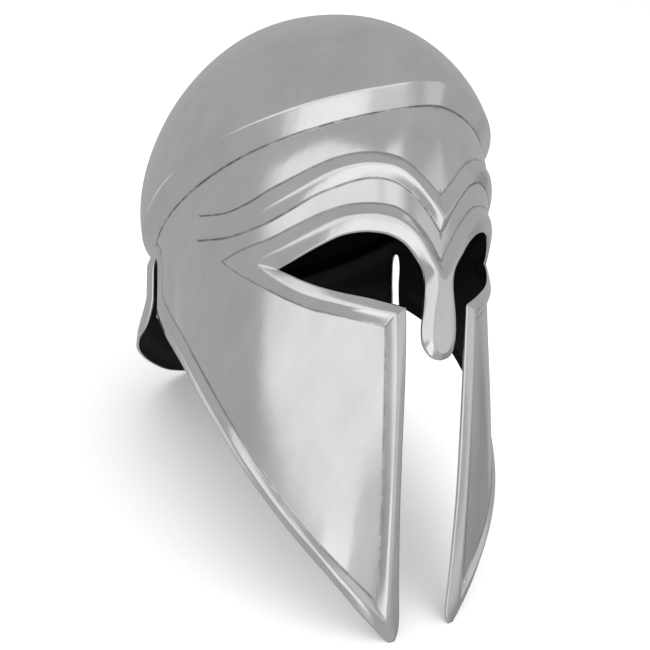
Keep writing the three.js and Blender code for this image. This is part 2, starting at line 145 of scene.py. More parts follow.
NASAL_AND_EYE_TOP = [
    [0, -97, 4.5, 0, -103, 4.5, 0, -108, 3.2],
    [0, -95.5, 4.5, 2.6, -102.3, 4.5, 4.6, -107.1, 3],
    [0, -94, 4.5, 4.8, -100.4, 4.5, 8.6, -104.4, 2.2],
    [0, -90, 4.5, 7.2, -95, 4.5, 12.2, -98, 1.2],
    [0, -84, 4.5, 7.3, -87, 4.5, 12.4, -88.6, 0.6],
    [0, -77, 4.5, 6.6, -79, 4.5, 11.3, -80, 0.2],
    [0, -70, 4.5, 5.4, -71.5, 4.5, 10.3, -72, -0.2],
    [0, -64, 4.5, 4.7, -64.5, 4.5, 10.1, -64.5, -0.3],
    [0, -58.5, 3, 5.6, -57.5, 4.5, 11.8, -57.3, 0],
    [0, -53, 0, 10.5, -48.5, 4.5, 16.4, -50.5, 0.8],
    [9, -39, 0, 17.8, -37.3, 4.4, 23.6, -42.3, 1.3],
    [18, -29.5, 0, 26.9, -30.2, 4.1, 33, -37.4, 1.5],
    [29, -22.5, 0, 37.8, -27, 3.6, 42.5, -35.9, 1.4],
    [42, -20.7, 0, 48.6, -27.3, 3.2, 50.5, -36.2, 1.2],
    [56, -21.9, 0, 59, -29.7, 2.8, 59, -38, 1],
    [69, -26, 0, 70, -35, 2.5, 68, -42, 0.8],
    [84.4, -33, 0, 82, -41, 2.3, 77, -46.7, 0.7],
    [98.7, -39.8, 0, 93, -46.2, 2.2, 86, -51.8, 0.7],
    [115, -45.2, 0, 101, -49.6, 2.1, 91, -54.5, 0.7],
    [132.7, -53, 0, 107, -54, 2, 95.5, -57, 0.7],
]
EYE_BOTTOM = [
    [132.7, -53, 0, 107, -54, 2, 95.5, -57, 0.7],
    [122.4, -58.8, 0, 101.2, -58.3, 2.1, 90.2, -58.9, 0.7],
    [112.3, -63.6, 0, 95.5, -61.8, 2.2, 86, -60.6, 0.7],
    [102.8, -67.6, 0, 90, -65, 2.3, 82, -62.3, 0.7],
    [88.9, -73.6, 0, 81.4, -69, 2.4, 76, -64.5, 0.7],
    [75.8, -78.4, 0, 71.7, -72, 2.5, 70, -66.4, 0.8],
    [66, -80.6, 0, 62.5, -74.2, 2.7, 61, -68.8, 0.9],
    [56.8, -82.6, 0, 53.7, -76.3, 2.9, 52.5, -70.6, 1],
    [46, -85, 0, 44.5, -78.2, 3.1, 42, -72.8, 1.2],
    [34.5, -88, 0, 29.5, -80.8, 3.5, 23, -78, 1.4],
]
CHEEK_FRONT = [
    [34.5, -88, 0, 29.5, -80.8, 3.5, 23, -78, 1.4],
    [34.2, -100, 0, 28.8, -97, 3.5, 22.6, -96, 1.2],
    [34, -125, 0, 28.3, -125, 3.4, 22.4, -125, 1],
    [33.8, -160, 0, 28.2, -160, 3.2, 22.4, -160, 0.8],
    [33.6, -195, 0, 28.2, -196, 3, 22, -196, 0.8],
    [33.6, -228, 0, 28, -234, 2.8, 20.2, -236, 0.8],
    [34, -247, 0, 28, -257, 2.5, 18.6, -264, 0.8],
    [34, -249, 0, 28.3, -261, 2.4, 21, -274, 0.8],
]
CHEEK_TIP = [
    [34, -249, 0, 28.3, -261, 2.4, 21, -274, 0.8],
    [34, -249, 0, 30.8, -257.5, 2.4, 25, -274, 0.8],
]
CHEEK_REAR = [
    [34, -249, 0, 30.8, -257.5, 2.4, 25, -274, 0.8],
    [36.2, -245.5, 0, 40, -248.3, 2.4, 44, -252.5, 0.8],
    [49.3, -231.4, 0, 52.6, -234.5, 2.4, 56, -237.5, 0.8],
    [63.5, -216.2, 0, 66.5, -218.9, 2.4, 69.5, -221.5, 0.8],
    [87, -189.7, 0, 90, -192.4, 2.4, 93, -195, 0.8],
    [108.8, -164, 0, 112.1, -167, 2.4, 115.5, -170, 0.8],
    [130.6, -138.3, 0, 134, -142, 2.4, 137.5, -145.5, 0.8],
    [152.2, -114.9, 0, 156.1, -119.4, 2.4, 160, -124, 0.8],
    [170.6, -98.3, 0, 174.8, -103.9, 2.4, 179, -109.5, 0.8],
    [189, -86, 0, 194, -93, 2.4, 199, -99.5, 0.8],
    [204.5, -77, 0, 211, -84.5, 2.2, 217.2, -91.5, 0.8],
]
NOTCH_AND_GUARD = [
    [204.5, -77, 0, 211, -84.5, 2.2, 217.2, -91.5, 0.8],
    [203.4, -67, 0, 210.3, -72, 2, 216.4, -76, 0.8],
    [204, -56.5, 0, 210.1, -60, 1.8, 215.2, -63, 0.8],
    [208, -47.5, 0, 212.6, -51, 1.5, 216.4, -54.2, 0.8],
    [219.2, -44, 0, 219.2, -48.2, 1.2, 219.2, -51.9, 0.8],
    [231, -48, 0, 226, -51.2, 1.4, 222.2, -54.2, 0.8],
    [235, -56.5, 0, 229, -58.5, 1.8, 223.8, -60, 0.8],
    [236, -70, 0, 230, -71.5, 2, 224.6, -73, 0.8],
    [237.5, -82, 0, 231.5, -84.5, 2, 225.8, -87, 0.8],
    [243, -93, 0, 237, -98, 2, 231.5, -102.5, 0.8],
    [256, -101.5, 0, 252, -107, 2, 248, -112.5, 0.8],
    [278, -112, 0, 276, -117.8, 2, 274, -123.5, 0.8],
    [300, -121.5, 0, 299, -127.5, 2, 298, -133.5, 0.8],
    [320, -129.5, 0, 319.5, -135.5, 2, 319, -141.5, 0.8],
    [338, -133, 0, 338, -139, 2, 338, -145, 0.8],
    [346, -133, 0, 346, -139, 2, 346, -145, 0.8],
    [400, -133, 0, 400, -139, 2, 400, -145, 0.8],
]
EDGES = [NASAL_AND_EYE_TOP, EYE_BOTTOM, CHEEK_FRONT, CHEEK_TIP, CHEEK_REAR, NOTCH_AND_GUARD]


def smooth(a, b, x):
    t = np.clip((x - a) / (b - a), 0, 1)
    return t * t * (3 - 2 * t)


def unit(v):
    return v / np.maximum(np.linalg.norm(v, axis=-1, keepdims=True), 1e-12)


def look_up(rows, x):
    """Smooth curve through table rows, first column the argument."""
    x = np.atleast_1d(np.asarray(x, float))
    k = rows[:, 0]
    slope = np.empty_like(rows)
    slope[1:-1] = (rows[2:] - rows[:-2]) / (k[2:] - k[:-2])[:, None]
    slope[0] = (rows[1] - rows[0]) / (k[1] - k[0])
    slope[-1] = (rows[-1] - rows[-2]) / (k[-1] - k[-2])
    i = np.clip(np.searchsorted(k, x, side="right") - 1, 0, len(rows) - 2)
    step = (k[i + 1] - k[i])[:, None]
    t = np.clip((x[:, None] - k[i][:, None]) / step, 0, 1)
    h = rows[i + 1] - rows[i]
    m = slope[i] * step
    n = slope[i + 1] * step
    return rows[i] + t * (m + t * (3 * h - 2 * m - n + t * (m + n - 2 * h)))


# ---- the plain sheet: a table of points over (z, u) --------------------------------
Z_LOW = -284.0
Z_HIGH = 60.0
U_HIGH = 420
Z_GRID = np.arange(Z_LOW, Z_HIGH + 0.5, 1.0)


def section(z):
    """Run, x and y of one horizontal section from the front centre to the back centre."""
    _, wide, face, power = look_up(SECTIONS, z)[0]
    a = np.linspace(0, math.pi, SECTION_POINTS)
    front = np.arange(SECTION_POINTS) < FRONT_POINTS
    p = np.where(front, 2 / power, 2 / BACK_POWER)
    reach = np.where(front, -(face + CENTRE_Y), BACK - CENTRE_Y)
    x = wide * np.clip(np.sin(a), 0, 1) ** p
    x[-1] = 0
    y = CENTRE_Y + reach * np.abs(np.cos(a)) ** p
    run = np.concatenate([[0], np.cumsum(np.hypot(np.diff(x), np.diff(y)))])
    return run, x, y


GIRTH = np.empty(len(Z_GRID))
TABLE = np.empty((len(Z_GRID), U_HIGH + 1, 2))
for row, level in enumerate(Z_GRID):
    run, x, y = section(level)
    GIRTH[row] = run[-1]
    TABLE[row, :, 0] = np.interp(np.arange(U_HIGH + 1), run, x)
    TABLE[row, :, 1] = np.interp(np.arange(U_HIGH + 1), run, y)


def girth(z):
    return np.interp(z, Z_GRID, GIRTH)


def on_sheet(u, z):
    u = np.minimum(u, girth(z))
    zi = np.clip(z - Z_LOW, 0, len(Z_GRID) - 1.001)
    r = zi.astype(int)
    c = np.clip(u.astype(int), 0, U_HIGH - 1)
    fz = (zi - r)[:, None]
    fu = (u - c)[:, None]
    near = TABLE[r, c] * (1 - fu) + TABLE[r, c + 1] * fu
    far = TABLE[r + 1, c] * (1 - fu) + TABLE[r + 1, c + 1] * fu
    xy = near * (1 - fz) + far * fz
    return np.column_stack([xy, z])


def step_z(y):
    return STEP_Z - STEP_SLOPE * y


def crease_z(u):
    """Height of the step's crease, which also depends on how far back the sheet is there."""
    z = np.zeros_like(u)
    for _ in range(ROUNDS):
        z = step_z(on_sheet(u, z)[:, 1])
    return z


def stand_off(u, z):
    """Outward stand-off of the plain sheet where it turns into the neck guard."""
    under = crease_z(np.minimum(u, girth(z))) - z
    flare = GUARD_FLARE * (np.maximum(0, FLARE_Z - z) / FLARE_DEPTH) ** FLARE_POWER
    full = smooth(GUARD_FROM, GUARD_FULL, u) * smooth(0, GUARD_BLEND, under)
    return full * (GUARD_STAND + flare)


def sheet_points(u, z):
    """Points of the plain sheet and its outward normals."""
    e = NORMAL_STEP
    limit = girth(z)
    across = on_sheet(np.minimum(u + e, limit), z) - on_sheet(np.maximum(0, u - e), z)
    along = on_sheet(u, z + e) - on_sheet(u, z - e)
    normal = np.cross(across, along)
    centre = (u < TINY) | (u > limit - TINY)
    normal[centre, 0] = 0
    at = on_sheet(u, z)
    at[centre, 0] = 0
    return at, unit(normal)


# ---- flat pattern of one half ------------------------------------------------------
flat = []             # u, z, height, painted shade
cells = {}            # points in each square millimetre


# each point carries a height and a painted shade; a point placed twice keeps the darker shade
def place(u, z, height, painted_shade=0.0):
    """Number of the point at (u, z): a new one, or one that is already there."""
    limit = float(girth(z))
    x = limit if u > limit - SNAP_BACK else (0.0 if u < SNAP_FRONT else u)
    ci, cj = int(x // 1), int(z // 1)
    for i in (ci - 1, ci, ci + 1):
        for j in (cj - 1, cj, cj + 1):
            for k in cells.get((i, j), ()):
                if math.hypot(flat[k][0] - x, flat[k][1] - z) < MERGE:
                    flat[k][3] = max(flat[k][3], painted_shade)
                    return k
    flat.append([x, z, height, painted_shade])
    cells.setdefault((ci, cj), []).append(len(flat) - 1)
    return len(flat) - 1


def along_band(rows, pieces=12):
    """Catmull-Rom through the rows of a band, evenly spaced along it."""
    r = np.array(rows, float)
    n = len(r)
    fine = []
    for i in range(n - 1):
        a, b, c, d = r[max(0, i - 1)], r[i], r[i + 1], r[min(n - 1, i + 2)]
        m, s, h = (c - a) / 2, (d - b) / 2, c - b
        for t in np.arange(pieces) / pieces:
            fine.append(b + t * (m + t * (3 * h - 2 * m - s + t * (m + s - 2 * h))))
    fine = np.array(fine + [r[-1]])
    gap = np.diff(fine, axis=0)
    pace = np.maximum(np.hypot(gap[:, 6], gap[:, 7]), np.hypot(gap[:, 0], gap[:, 1]))
    run = np.concatenate([[0], np.cumsum(pace)])
    want = np.linspace(0, run[-1], max(2, int(round(run[-1] / BAND_STEP)) + 1))
    return np.column_stack([np.interp(want, run, fine[:, q]) for q in range(9)])


def across_band(s):
    """Points between the three lines of a station: a ridge with a rounded crest."""
    outer, crest, inner = s[0:3], s[3:6], s[6:9]
    made = []
    for end, shares in ((outer, OUTER_SHARES), (inner, INNER_SHARES)):
        width = math.hypot(end[0] - crest[0], end[1] - crest[1])
        full = math.hypot(width, RIDGE_ROUND) - RIDGE_ROUND
        for t in shares:
            drop = (math.hypot(t * width, RIDGE_ROUND) - RIDGE_ROUND) / max(full, TINY)
            made.append((crest[0] + t * (end[0] - crest[0]),
                         crest[1] + t * (end[1] - crest[1]),
                         crest[2] + drop * (end[2] - crest[2])))
    return made


def on_plain_sheet(s):
    """Whether a station's outer line lies on the plain sheet, so that a crease runs there."""
    return s[2] < 0.01


# painted shade along the brow's outer crease, darker towards its tail
def brow_crease_shade(u):
    return BROW_CREASE_SHADE + BROW_TAIL_SHADE * float(smooth(*BROW_TAIL, u))


def facet_shade(rows, s):
    """Painted shade of a station's points across the band, as across_band gives them."""
    most = 0.0
    if rows is CHEEK_FRONT:
        low_down = float(smooth(*CHEEK_FACET_SHADE_Z, s[4]))
        most = CHEEK_FACET_SHADE * (CHEEK_TOP_SHARE + (1 - CHEEK_TOP_SHARE) * low_down)
    return [most * share ** 2 for share in OUTER_SHARES] + [0.0] * len(INNER_SHARES)


bands = [(rows, along_band(rows)) for rows in EDGES]
brow = along_band(BROW)

# the rim, from the nasal's tip round to the back centre
edge_loop = []
for _, line in bands:
    for s in line:
        at = place(s[6], s[7], s[8])
        if not edge_loop or edge_loop[-1] != at:
            edge_loop.append(at)

# the crease of the step, from the back centre to the front centre
back_crease = float(step_z(BACK))
crease_u = np.linspace(0, float(girth(back_crease)), CREASE_COUNT + 1)
crease_heights = crease_z(crease_u)
crease_heights[-1] = back_crease
# the step's crease carries painted shade
crease_line = []
for k in range(CREASE_COUNT, -1, -1):
    u = crease_u[k] if k < CREASE_COUNT else BEYOND
    crease_line.append(place(u, crease_heights[k], 0, STEP_CREASE_SHADE))

# the lines along each band, which the triangles keep to
band_lines = []
for _, line in bands:
    band_lines.append([place(s[3], s[4], s[5]) for s in line])
    for s in line:
        # painted shade along the bands' outer creases where they meet the plain sheet
        place(s[0], s[1], s[2], BAND_CREASE_SHADE if on_plain_sheet(s) else 0)
    for s, t in zip(line[:-1], line[1:]):
        if on_plain_sheet(s) and on_plain_sheet(t):
            band_lines.append([place(s[0], s[1], s[2]), place(t[0], t[1], t[2])])
band_lines.append([place(s[3], s[4], s[5]) for s in brow])
# painted shade along the brow's outer and inner lines
band_lines.append([place(s[0], s[1], s[2], brow_crease_shade(s[0])) for s in brow])
band_lines.append([place(s[6], s[7], s[8], BROW_INNER_SHADE) for s in brow])

# painted shade across the outer facet of the cheek's front band, strongest near the crease
for rows, line in bands + [(BROW, brow)]:
    for s in line:
        for p, dark in zip(across_band(s), facet_shade(rows, s)):
            place(*p, dark)


def inside(poly, x, y):
    ax, ay = poly[:, 0][:, None], poly[:, 1][:, None]
    bx, by = np.roll(poly[:, 0], 1)[:, None], np.roll(poly[:, 1], 1)[:, None]
    with np.errstate(divide="ignore", invalid="ignore"):
        hit = ((ay > y) != (by > y)) & (x < (bx - ax) * (y - ay) / (by - ay) + ax)
    return hit.sum(0) % 2 == 1


def halo(s, a, b):
    """A plain point just beyond line a of a station, on the side away from line b."""
    dx, dz = s[a] - s[b], s[a + 1] - s[b + 1]
    length = math.hypot(dx, dz)
    if length < SHORTEST:
        return None
    return s[a] + dx / length * HALO, s[a + 1] + dz / length * HALO


def distance_to(points, u, z):
    return np.min(np.hypot(points[:, 0] - u, points[:, 1] - z))


# the half's outline, while the back centre line is still one straight edge
loop_ids = edge_loop + [i for i in crease_line if i not in (edge_loop[-1], edge_loop[0])]
loop = np.array([flat[i][:2] for i in loop_ids])

halos = []
for _, line in bands:
    halos += [halo(s, 0, 3) for s in line if on_plain_sheet(s)]
for s in brow:
    halos += [halo(s, 0, 3), halo(s, 6, 3)]
for k in range(1, CREASE_COUNT):
    halos.append((crease_u[k], crease_heights[k] - HALO))
halos = np.array([h for h in halos if h is not None and h[0] > HALO_FRONT_CLEAR])
for (u, z), within in zip(halos, inside(loop, halos[:, 0], halos[:, 1])):
    if within and u < girth(z) - HALO_BACK_CLEAR:
        place(u, z, 0)

# the plain fields
made = np.array(flat)
row_step = FIELD_STEP * ROW_RATIO
grid = []
for row in range(int((Z_HIGH - Z_LOW) / row_step)):
    for col in range(int(U_HIGH / FIELD_STEP)):
        grid.append((FIELD_STEP * (col + (row % 2) / 2), FIELD_TOP - row_step * row))
grid = np.array(grid)
grid = grid[(grid[:, 0] > FRONT_CLEAR) & (grid[:, 0] < girth(grid[:, 1]) - BACK_CLEAR)]
grid = grid[inside(loop, grid[:, 0], grid[:, 1])]
for u, z in grid:
    if distance_to(made, u, z) > FIELD_STEP * FIELD_CLEAR:
        place(u, z, 0)
for z in np.arange(*CENTRE_RANGE, -FIELD_STEP):
    for u in (0.0, float(girth(z))):
        nudged = u + (NUDGE if u < 1 else -NUDGE)
        if inside(loop, np.array([nudged]), np.array([z]))[0]:
            if distance_to(made, u, z) > FIELD_STEP * FIELD_CLEAR:
                place(u, z, 0)

# ---- triangles of the flat pattern -------------------------------------------------
flat = np.array(flat)
back_line = np.where(flat[:, 0] > girth(flat[:, 1]) - TINY)[0]
back_line = back_line[np.argsort(flat[back_line, 1])]
back_line = [i for i in back_line if i not in (edge_loop[-1], crease_line[0])]
rest_of_crease = [i for i in crease_line if i not in (edge_loop[-1], edge_loop[0])]
loop_ids = edge_loop + back_line + rest_of_crease
loop = flat[loop_ids][:, :2]
kept_edges = [(loop_ids[i], loop_ids[(i + 1) % len(loop_ids)]) for i in range(len(loop_ids))]
for line in band_lines:
    kept_edges += [(a, b) for a, b in zip(line[:-1], line[1:]) if a != b]
cut = delaunay_2d_cdt([Vector((p[0], p[1])) for p in flat], kept_edges, [], 0, 1e-4)
origin = [o[0] if o else -1 for o in cut[3]]
triangles = np.array([[origin[v] for v in f] for f in cut[2] if len(f) == 3])
triangles = triangles[(triangles >= 0).all(1)]
mid = flat[triangles][:, :, :2].mean(1)
triangles = triangles[inside(loop, mid[:, 0], mid[:, 1])]

# ---- outer face of one half: sheet, step and dome ----------------------------------
base, normal = sheet_points(flat[:, 0], flat[:, 1])
lift = stand_off(flat[:, 0], flat[:, 1])
half = base + normal * (lift + flat[:, 2])[:, None]
inner_half = base + normal * (lift + INNER_RELIEF * flat[:, 2] - SHEET)[:, None]
# painted shade of each point of the sheet
painted_shade = list(flat[:, 3])
sheet_count = len(half)


def corners(points, faces):
    return points[faces[:, 0]], points[faces[:, 1]], points[faces[:, 2]]


a, b, c = corners(half, triangles)
turned = (np.cross(b - a, c - a) * normal[triangles[:, 0]]).sum(1) < 0
triangles[turned] = triangles[turned][:, ::-1]
faces = [tuple(t) for t in triangles]

tilt = math.atan(STEP_SLOPE)
rise = np.array([0, math.sin(tilt), math.cos(tilt)])
ring = crease_line[::-1]
crease = half[ring]
before = np.vstack([crease[1] * [-1, 1, 1], crease[:-1]])
after = np.vstack([crease[1:], crease[-2] * [-1, 1, 1]])
outward = unit(np.cross(after - before, rise))
turn_from_front = np.degrees(np.arctan2(crease[:, 0], CENTRE_Y - crease[:, 1]))
reach = look_up(OVERHANG, turn_from_front)[:, 1]
ridge = crease + outward * reach[:, None] + rise * STEP_HEIGHT
dome_foot = (ridge[0] + ridge[-1]) / 2
half_long = np.linalg.norm(ridge[0] - ridge[-1]) / 2
half_wide = ridge[:, 0].max()

facet_out = unit(outward * STEP_HEIGHT - rise * reach[:, None])
rings = []
for share in STEP_SHARES:
    bulge = 4 * STEP_BULGE * share * (1 - share)
    rings.append(crease + (ridge - crease) * share + facet_out * bulge)
rings.append(ridge - unit(facet_out + outward) * RIDGE_PULL)
out = ridge - dome_foot
plane_y = np.array([0, math.cos(tilt), -math.sin(tilt)])
turn = np.arctan2(out[:, 0], -(out @ plane_y))
oval = 1 / np.hypot(np.cos(turn) / half_long, np.sin(turn) / half_wide)
rounded = out * (oval / np.linalg.norm(out, axis=1))[:, None]
for angle in FIRST_ANGLES + [math.pi / 2 * k / DOME_ROWS for k in range(1, DOME_ROWS)]:
    flatten = 1 - DOME_FLATTEN * math.sin(2 * angle) ** 2
    blend = math.sin(angle) ** 4
    p = (out * (1 - blend) + rounded * blend) * math.cos(angle) * flatten
    rings.append(dome_foot + p + rise * DOME_RISE * math.sin(angle) * flatten)

points = [half]
last = list(ring)
count = len(half)
for k, r in enumerate(rings):
    r = r.copy()
    r[0, 0] = r[-1, 0] = 0
    points.append(r)
    new = list(range(count, count + len(r)))
    count += len(r)
    for i in range(len(r) - 1):
        if (i + k) % 2:
            faces += [(last[i], last[i + 1], new[i]), (last[i + 1], new[i + 1], new[i])]
        else:
            faces += [(last[i], last[i + 1], new[i + 1]), (last[i], new[i + 1], new[i])]
    last = new
    painted_shade += [0.0] * len(r)
points.append((dome_foot + rise * DOME_RISE)[None])
painted_shade.append(0.0)
faces += [(last[i], last[i + 1], count) for i in range(len(last) - 1)]
half = np.vstack(points)

faces = np.array(faces)
ring_faces = faces[len(triangles):]
a, b, c = corners(half, ring_faces)
away = (a + b + c) / 3 - dome_foot
wrong = (np.cross(b - a, c - a) * away).sum(1) < 0
ring_faces[wrong] = ring_faces[wrong][:, ::-1]

# ---- both halves, and the inner face -----------------------------------------------
centre = np.abs(half[:, 0]) < 1e-4
half[centre, 0] = 0
twin = np.arange(len(half))
twin[~centre] = len(half) + np.arange((~centre).sum())
outer = np.vstack([half, half[~centre] * [-1, 1, 1]])
painted_shade = np.concatenate([painted_shade, np.array(painted_shade)[~centre]])
outer_faces = np.vstack([faces, twin[faces][:, ::-1]])
outer_count = len(outer)

vertex_normal = np.zeros_like(outer)
a, b, c = corners(outer, outer_faces)
face_normal = np.cross(b - a, c - a)
for k in range(3):
    np.add.at(vertex_normal, outer_faces[:, k], face_normal)
inner = outer - unit(vertex_normal) * SHEET
inner[:sheet_count] = inner_half
inner[np.where(centre[:sheet_count])[0], 0] = 0
mirrored = np.where(~centre[:sheet_count])[0]
inner[twin[mirrored]] = inner_half[mirrored] * [-1, 1, 1]

# ---- the sheet's edge, rounded -----------------------------------------------------
rim_edges = {}
for t in outer_faces.tolist():
    for k in range(3):
        a, b = t[k], t[(k + 1) % 3]
        if (b, a) in rim_edges:
            del rim_edges[(b, a)]
        else:
            rim_edges[(a, b)] = True
next_of = dict(rim_edges.keys())
previous_of = {b: a for a, b in rim_edges}
rim = sorted(next_of)
rim_at = {v: i for i, v in enumerate(rim)}
tangent = unit(np.array([outer[next_of[v]] - outer[previous_of[v]] for v in rim]))
thick = unit(outer[rim] - inner[rim])
outward_rim = unit(np.cross(tangent, thick))
middle = (outer[rim] + inner[rim]) / 2 + outward_rim * RIM_ROUND
rim_faces = []
for a, b in rim_edges:
    ia, ib = 2 * outer_count + rim_at[a], 2 * outer_count + rim_at[b]
    rim_faces += [(b, a, ia), (b, ia, ib)]
    rim_faces += [(ib, ia, a + outer_count), (ib, a + outer_count, b + outer_count)]

everything = np.vstack([outer, inner, middle])
inner_faces = outer_faces[:, ::-1] + outer_count
all_faces = np.vstack([outer_faces, np.array(rim_faces), inner_faces])
painted = np.zeros(len(all_faces), int)
painted[-len(inner_faces):] = 1
painted_shade = np.concatenate([painted_shade, np.zeros(outer_count + len(middle))])


# ---- lean it back until tips and neck guard touch the ground -----------------------
def leaned(p, angle):
    c, s = math.cos(angle), math.sin(angle)
    p = np.atleast_2d(p)
    return np.column_stack([p[:, 0], p[:, 1] * c + p[:, 2] * s, -p[:, 1] * s + p[:, 2] * c])


at_front = everything[:, 1] < 0
low, high = 0.0, 1.0
for _ in range(ROUNDS):
    lean = (low + high) / 2
    z = leaned(everything, lean)[:, 2]
    if z[at_front].min() < z[~at_front].min():
        low = lean
    else:
        high = lean
standing = leaned(everything, lean)
ground = standing[:, 2].min() + REST_FLAT
middle_y = (standing[:, 1].min() + standing[:, 1].max()) / 2
shift = np.array([0, -middle_y, -ground])
standing = standing + shift
standing[:, 2] = np.maximum(standing[:, 2], 0)

mesh = bpy.data.meshes.new("helmet_shell")
mesh.from_pydata((standing / 1000).tolist(), [], all_faces.tolist())
mesh.polygons.foreach_set("use_smooth", np.ones(len(all_faces), bool))
mesh.polygons.foreach_set("material_index", painted)
# painted shade per point, darkest along the creases, read by the steel material
mesh.attributes.new("painted_shade", "FLOAT", "POINT").data.foreach_set("value", painted_shade)
mesh.update()
shell = bpy.data.objects.new("helmet_shell", mesh)
bpy.context.scene.collection.objects.link(shell)
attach(shell, "root")
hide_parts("shell")


# ---- materials ---------------------------------------------------------------------
STEEL_DARK = 0.74
STEEL_LIGHT = 0.84
# colour of the painted shade in the creases and on the cheek's front facet
PAINTED_SHADE_GREY = 0.07
PAINT_DARK = 0.004
PAINT_LIGHT = 0.012
UPRIGHT_LINES = (1.0, 1.0, 0.06)       # stretch of the fine polishing lines
UPRIGHT_STROKES = (1.0, 1.0, 0.22)     # stretch of the broader strokes


def grey(value):
    return (value, value, value, 1)


def new_material(name):
    material = bpy.data.materials.new(name)
    material.use_nodes = True
    tree = material.node_tree
    return material, tree, tree.nodes["Principled BSDF"]


def noise(tree, vector, scale, detail, roughness=0.5):
    node = tree.nodes.new("ShaderNodeTexNoise")
    node.inputs["Scale"].default_value = scale
    node.inputs["Detail"].default_value = detail
    node.inputs["Roughness"].default_value = roughness
    tree.links.new(vector, node.inputs["Vector"])
    return node.outputs["Fac"]


def stretched(tree, vector, scale):
    node = tree.nodes.new("ShaderNodeMapping")
    node.inputs["Scale"].default_value = scale
    tree.links.new(vector, node.inputs["Vector"])
    return node.outputs["Vector"]


def span(tree, value, low, high, to_low, to_high, kind="LINEAR"):
    """Value carried from the span low to high over to the span to_low to to_high."""
    node = tree.nodes.new("ShaderNodeMapRange")
    node.interpolation_type = kind
    node.inputs["From Min"].default_value = low
    node.inputs["From Max"].default_value = high
    node.inputs["To Min"].default_value = to_low
    node.inputs["To Max"].default_value = to_high
    tree.links.new(value, node.inputs["Value"])
    return node.outputs["Result"]


def math_node(tree, operation, a, b):
    node = tree.nodes.new("ShaderNodeMath")
    node.operation = operation
    for socket, value in zip(node.inputs, (a, b)):
        if isinstance(value, (int, float)):
            socket.default_value = value
        else:
            tree.links.new(value, socket)
    return node.outputs[0]


def mixed(tree, factor, first, second):
    """Colour between two, each a grey's value or a socket."""
    node = tree.nodes.new("ShaderNodeMix")
    node.data_type = "RGBA"
    tree.links.new(factor, node.inputs[0])
    for socket, value in zip(node.inputs[6:8], (first, second)):
        if isinstance(value, float):
            socket.default_value = grey(value)
        else:
            tree.links.new(value, socket)
    return node.outputs[2]


def bump(tree, height, strength, distance, under=None):
    node = tree.nodes.new("ShaderNodeBump")
    node.inputs["Strength"].default_value = strength
    node.inputs["Distance"].default_value = distance
    tree.links.new(height, node.inputs["Height"])
    if under is not None:
        tree.links.new(under, node.inputs["Normal"])
    return node.outputs["Normal"]


def steel_material():
    """Polished steel: cloudy, with upright strokes, and painted shade in the creases and on the
    cheek's front facet.
    """
    material, tree, shader = new_material("polished_steel")
    where = tree.nodes.new("ShaderNodeTexCoord").outputs["Object"]
    strokes = stretched(tree, where, UPRIGHT_STROKES)
    # painted shade from the per-point attribute, broken up by fine specks; it also roughens the
    # surface
    attribute = tree.nodes.new("ShaderNodeAttribute")
    attribute.attribute_name = "painted_shade"
    specks = noise(tree, where, scale=160.0, detail=3.0)
    broken = span(tree, specks, 0.3, 0.6, 0.5, 1.0)
    painted_shade_mask = math_node(tree, "MULTIPLY", attribute.outputs["Fac"], broken)

    clouds = noise(tree, where, scale=14.0, detail=5.0, roughness=0.62)
    brushed = noise(tree, strokes, scale=60.0, detail=4.0, roughness=0.6)
    patches = math_node(tree, "ADD", clouds, brushed)
    steel = mixed(tree, span(tree, patches, 0.7, 1.3, 0, 1), STEEL_DARK, STEEL_LIGHT)
    # steel colour darkened towards the painted shade grey
    tree.links.new(mixed(tree, painted_shade_mask, steel, PAINTED_SHADE_GREY), shader.inputs["Base Color"])

    rough = span(tree, noise(tree, where, scale=16.0, detail=3.0), 0.35, 0.65, 0.12, 0.19)
    rough = math_node(tree, "ADD", rough, math_node(tree, "MULTIPLY", painted_shade_mask, 0.3))
    tree.links.new(rough, shader.inputs["Roughness"])
    shader.inputs["Metallic"].default_value = 1.0

    streaks = noise(tree, strokes, scale=70.0, detail=2.0)
    dents = noise(tree, where, scale=22.0, detail=1.0)
    lines = noise(tree, stretched(tree, where, UPRIGHT_LINES), scale=900.0, detail=2.0)
    surface = bump(tree, streaks, strength=0.4, distance=0.0004)
    surface = bump(tree, dents, strength=0.3, distance=0.0005, under=surface)
    surface = bump(tree, lines, strength=0.12, distance=0.00005, under=surface)
    tree.links.new(surface, shader.inputs["Normal"])
    return material


def paint_material():
    material, tree, shader = new_material("black_inside_paint")
    where = tree.nodes.new("ShaderNodeTexCoord").outputs["Object"]
    speckle = noise(tree, where, scale=420.0, detail=3.0)
    tree.links.new(mixed(tree, speckle, PAINT_DARK, PAINT_LIGHT), shader.inputs["Base Color"])
    tree.links.new(span(tree, speckle, 0.3, 0.7, 0.6, 0.8), shader.inputs["Roughness"])
    shader.inputs["Specular IOR Level"].default_value = 0.2
    grain = bump(tree, speckle, strength=0.3, distance=0.0001)
    tree.links.new(grain, shader.inputs["Normal"])
    return material


mesh.materials.append(steel_material())
mesh.materials.append(paint_material())

# ---- camera, set out round the upright helmet and leaned back with it --------------
CAMERA_TURN = math.radians(-34.0)
CAMERA_RISE = math.radians(5.64)
CAMERA_AWAY = 578.0
CAMERA_SIDE = 1.87
CAMERA_UP = -97.75
LENS = 47.869
SENSOR = 36.0

